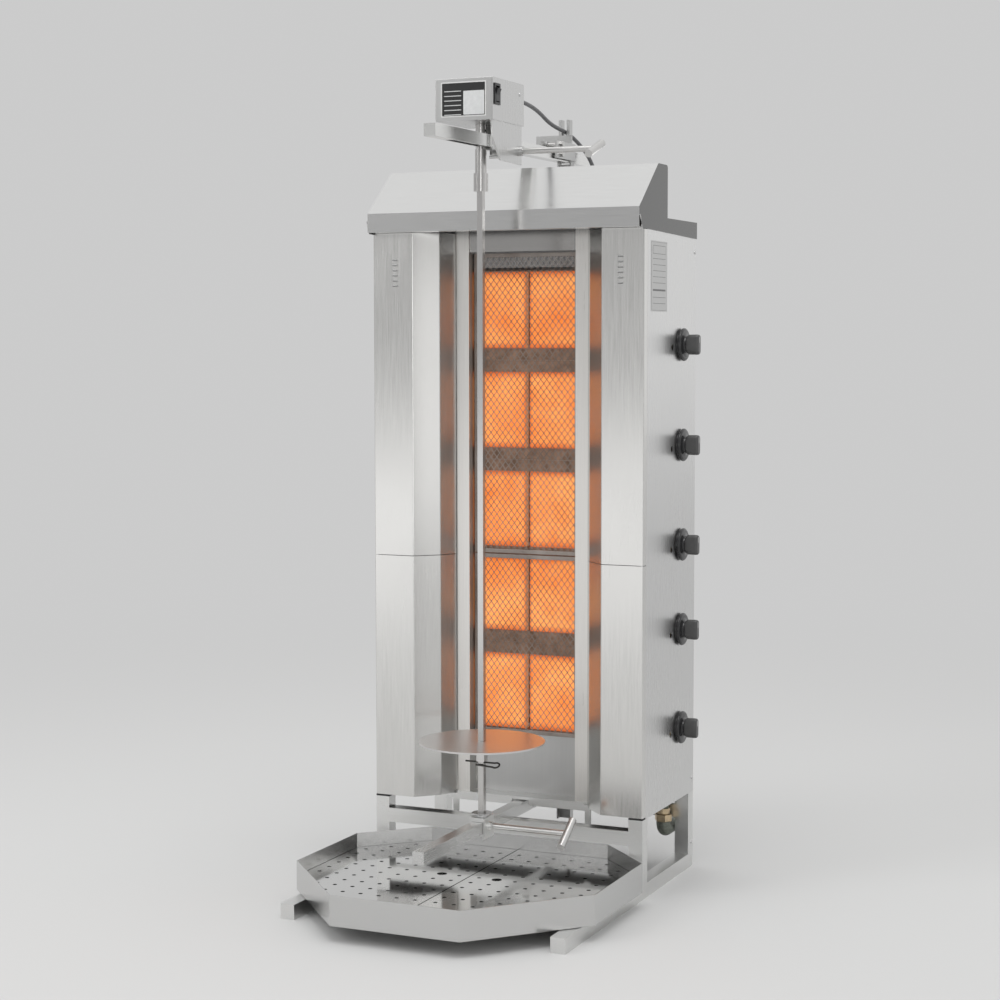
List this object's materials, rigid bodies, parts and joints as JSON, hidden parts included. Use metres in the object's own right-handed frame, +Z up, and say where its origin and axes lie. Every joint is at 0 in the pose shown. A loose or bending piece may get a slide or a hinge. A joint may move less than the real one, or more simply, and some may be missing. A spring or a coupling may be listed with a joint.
{
  "type": "vertical gas rotisserie grill",
  "caption": "Upright gas rotisserie grill in stainless steel: burner column between hinged shields, vertical spit with disc under a motor head, octagonal drip tray on a tube base.",
  "frame": {"origin": "on the floor, on the mid plane of the cabinet, under the middle of the base from the tray front to the rear end of the upper rail", "axes": "+Z up; -Y towards the cook, the side the tray pulls out; +X to the cook's right, the side with the gas knobs"},
  "size_m": [0.55, 0.784, 1.358],
  "materials": {
    "sheet_steel": "fine vertical brush, satin",
    "frame_steel": "ground stainless tube, satin",
    "spit_steel": "smooth bright stainless bar",
    "wire_steel": "heat-tinted stainless wire mesh",
    "dark_steel": "dark, lightly oiled",
    "ceramic": "warm cream ceramic with fine holes",
    "brass": "dull brass",
    "galvanised": "grey-green galvanised casting",
    "copper_pipe": "dull copper pipe",
    "knob_black": "satin dark grey",
    "knob_ring": "gloss black",
    "switch_black": "gloss black",
    "plate_black": "black plate with a plain pale field",
    "motor_alloy": "cast alloy gearbox",
    "cord_grey": "matt grey cord jacket",
    "pad_black": "black pad"
  },
  "bodies": {
    "frame": {"burner_feed_pipes": "copper_pipe", "burner_housings": "sheet_steel", "ceramic_tiles": "ceramic", "column_cap": "sheet_steel", "column_posts": "sheet_steel", "cover_cord_gland": "cord_grey", "cross_tubes": "frame_steel", "front_sill": "sheet_steel", "gas_elbow": "galvanised", "gas_inlet_union": "brass", "gas_manifold": "galvanised", "gas_valves": "brass", "hood": "sheet_steel", "knob_bezels": "knob_ring", "left_side_frame": "frame_steel", "left_side_panel": "sheet_steel", "lower_back_panel": "sheet_steel", "lower_rail": "frame_steel", "mast": "frame_steel", "mast_bolts": "dark_steel", "mast_bracket": "frame_steel", "mesh_guard_lower": "wire_steel", "mesh_guard_upper": "wire_steel", "motor_cord": "cord_grey", "rear_cover": "sheet_steel", "right_side_frame": "frame_steel", "right_side_panel": "sheet_steel", "roof_panel": "sheet_steel", "upper_rail": "frame_steel", "wing_foot_pads": "pad_black", "wing_hinge_rods": "frame_steel"},
    "motor_head": {"motor_housing": "sheet_steel", "motor_name_plate": "plate_black", "housing_rivets": "sheet_steel", "head_chassis": "sheet_steel", "gear_motor": "motor_alloy", "motor_cord_gland": "cord_grey", "switch_frame": "switch_black"},
    "rocker": {"rocker_switch": "switch_black"},
    "upper_clamp": {"upper_clamp_screw": "frame_steel"},
    "spit": {"spit_bar": "spit_steel", "spit_coupling": "spit_steel", "drive_shaft": "spit_steel", "spit_clip": "spit_steel"},
    "disc": {"spit_disc": "spit_steel"},
    "slider": {"lower_slider": "frame_steel", "spit_bearing": "dark_steel"},
    "lower_clamp": {"lower_clamp_screw": "frame_steel"},
    "left_upper_wing": {"left_wing_upper": "sheet_steel"},
    "left_lower_wing": {"left_wing_lower": "sheet_steel"},
    "right_upper_wing": {"right_wing_upper": "sheet_steel"},
    "right_lower_wing": {"right_wing_lower": "sheet_steel"},
    "tray": {"drip_tray": "sheet_steel"},
    "left_insert": {"tray_insert_left": "sheet_steel"},
    "right_insert": {"tray_insert_right": "sheet_steel"},
    "knob_1": {"burner_knob_1": "knob_black"},
    "knob_2": {"burner_knob_2": "knob_black"},
    "knob_3": {"burner_knob_3": "knob_black"},
    "knob_4": {"burner_knob_4": "knob_black"},
    "knob_5": {"burner_knob_5": "knob_black"}
  },
  "joints": [
    {"name": "motor_head_slide", "type": "slide", "parent": "frame", "child": "motor_head", "axis": [0, 1, 0], "range_m": [-0.11, 0]},
    {"name": "lower_slider_slide", "type": "slide", "parent": "frame", "child": "slider", "axis": [0, 1, 0], "range_m": [-0.11, 0]},
    {"name": "spit_turn", "type": "hinge", "parent": "motor_head", "child": "spit", "pos_m": [0, -0.063, 0.7], "axis": [0, 0, 1], "continuous": true},
    {"name": "disc_lift", "type": "slide", "parent": "spit", "child": "disc", "axis": [0, 0, 1], "range_m": [0, 0.83]},
    {"name": "rocker_press", "type": "hinge", "parent": "motor_head", "child": "rocker", "pos_m": [0.046, -0.1125, 1.3315], "axis": [0, -1, 0], "range_deg": [0, 20]},
    {"name": "upper_clamp_turn", "type": "hinge", "parent": "motor_head", "child": "upper_clamp", "pos_m": [0, -0.018, 1.248], "axis": [1, 0, 0], "range_deg": [0, 180]},
    {"name": "lower_clamp_turn", "type": "hinge", "parent": "slider", "child": "lower_clamp", "pos_m": [0.016, -0.063, 0.126], "axis": [1, 0, 0], "range_deg": [0, 180]},
    {"name": "left_upper_wing_swing", "type": "hinge", "parent": "frame", "child": "left_upper_wing", "pos_m": [-0.2455, 0.039, 0.85], "axis": [0, 0, -1], "range_deg": [0, 90]},
    {"name": "left_lower_wing_swing", "type": "hinge", "parent": "frame", "child": "left_lower_wing", "pos_m": [-0.2455, 0.039, 0.35], "axis": [0, 0, -1], "range_deg": [0, 90]},
    {"name": "right_upper_wing_swing", "type": "hinge", "parent": "frame", "child": "right_upper_wing", "pos_m": [0.2455, 0.039, 0.85], "axis": [0, 0, 1], "range_deg": [0, 90]},
    {"name": "right_lower_wing_swing", "type": "hinge", "parent": "frame", "child": "right_lower_wing", "pos_m": [0.2455, 0.039, 0.35], "axis": [0, 0, 1], "range_deg": [0, 45]},
    {"name": "tray_slide", "type": "slide", "parent": "frame", "child": "tray", "axis": [0, -1, 0], "range_m": [0, 0.4]},
    {"name": "left_insert_lift", "type": "slide", "parent": "tray", "child": "left_insert", "axis": [0, 0, 1], "range_m": [0, 0.034]},
    {"name": "right_insert_lift", "type": "slide", "parent": "tray", "child": "right_insert", "axis": [0, 0, 1], "range_m": [0, 0.034]},
    {"name": "knob_1_turn", "type": "hinge", "parent": "frame", "child": "knob_1", "pos_m": [0.25, 0.222, 0.2624], "axis": [1, 0, 0], "range_deg": [0, 180]},
    {"name": "knob_2_turn", "type": "hinge", "parent": "frame", "child": "knob_2", "pos_m": [0.25, 0.222, 0.4354], "axis": [1, 0, 0], "range_deg": [0, 180]},
    {"name": "knob_3_turn", "type": "hinge", "parent": "frame", "child": "knob_3", "pos_m": [0.25, 0.222, 0.5835], "axis": [1, 0, 0], "range_deg": [0, 180]},
    {"name": "knob_4_turn", "type": "hinge", "parent": "frame", "child": "knob_4", "pos_m": [0.25, 0.222, 0.7566], "axis": [1, 0, 0], "range_deg": [0, 180]},
    {"name": "knob_5_turn", "type": "hinge", "parent": "frame", "child": "knob_5", "pos_m": [0.25, 0.222, 0.9296], "axis": [1, 0, 0], "range_deg": [0, 180]}
  ],
  "couplings": [
    {"joint": "lower_slider_slide", "follows": "motor_head_slide", "ratio": 1}
  ]
}
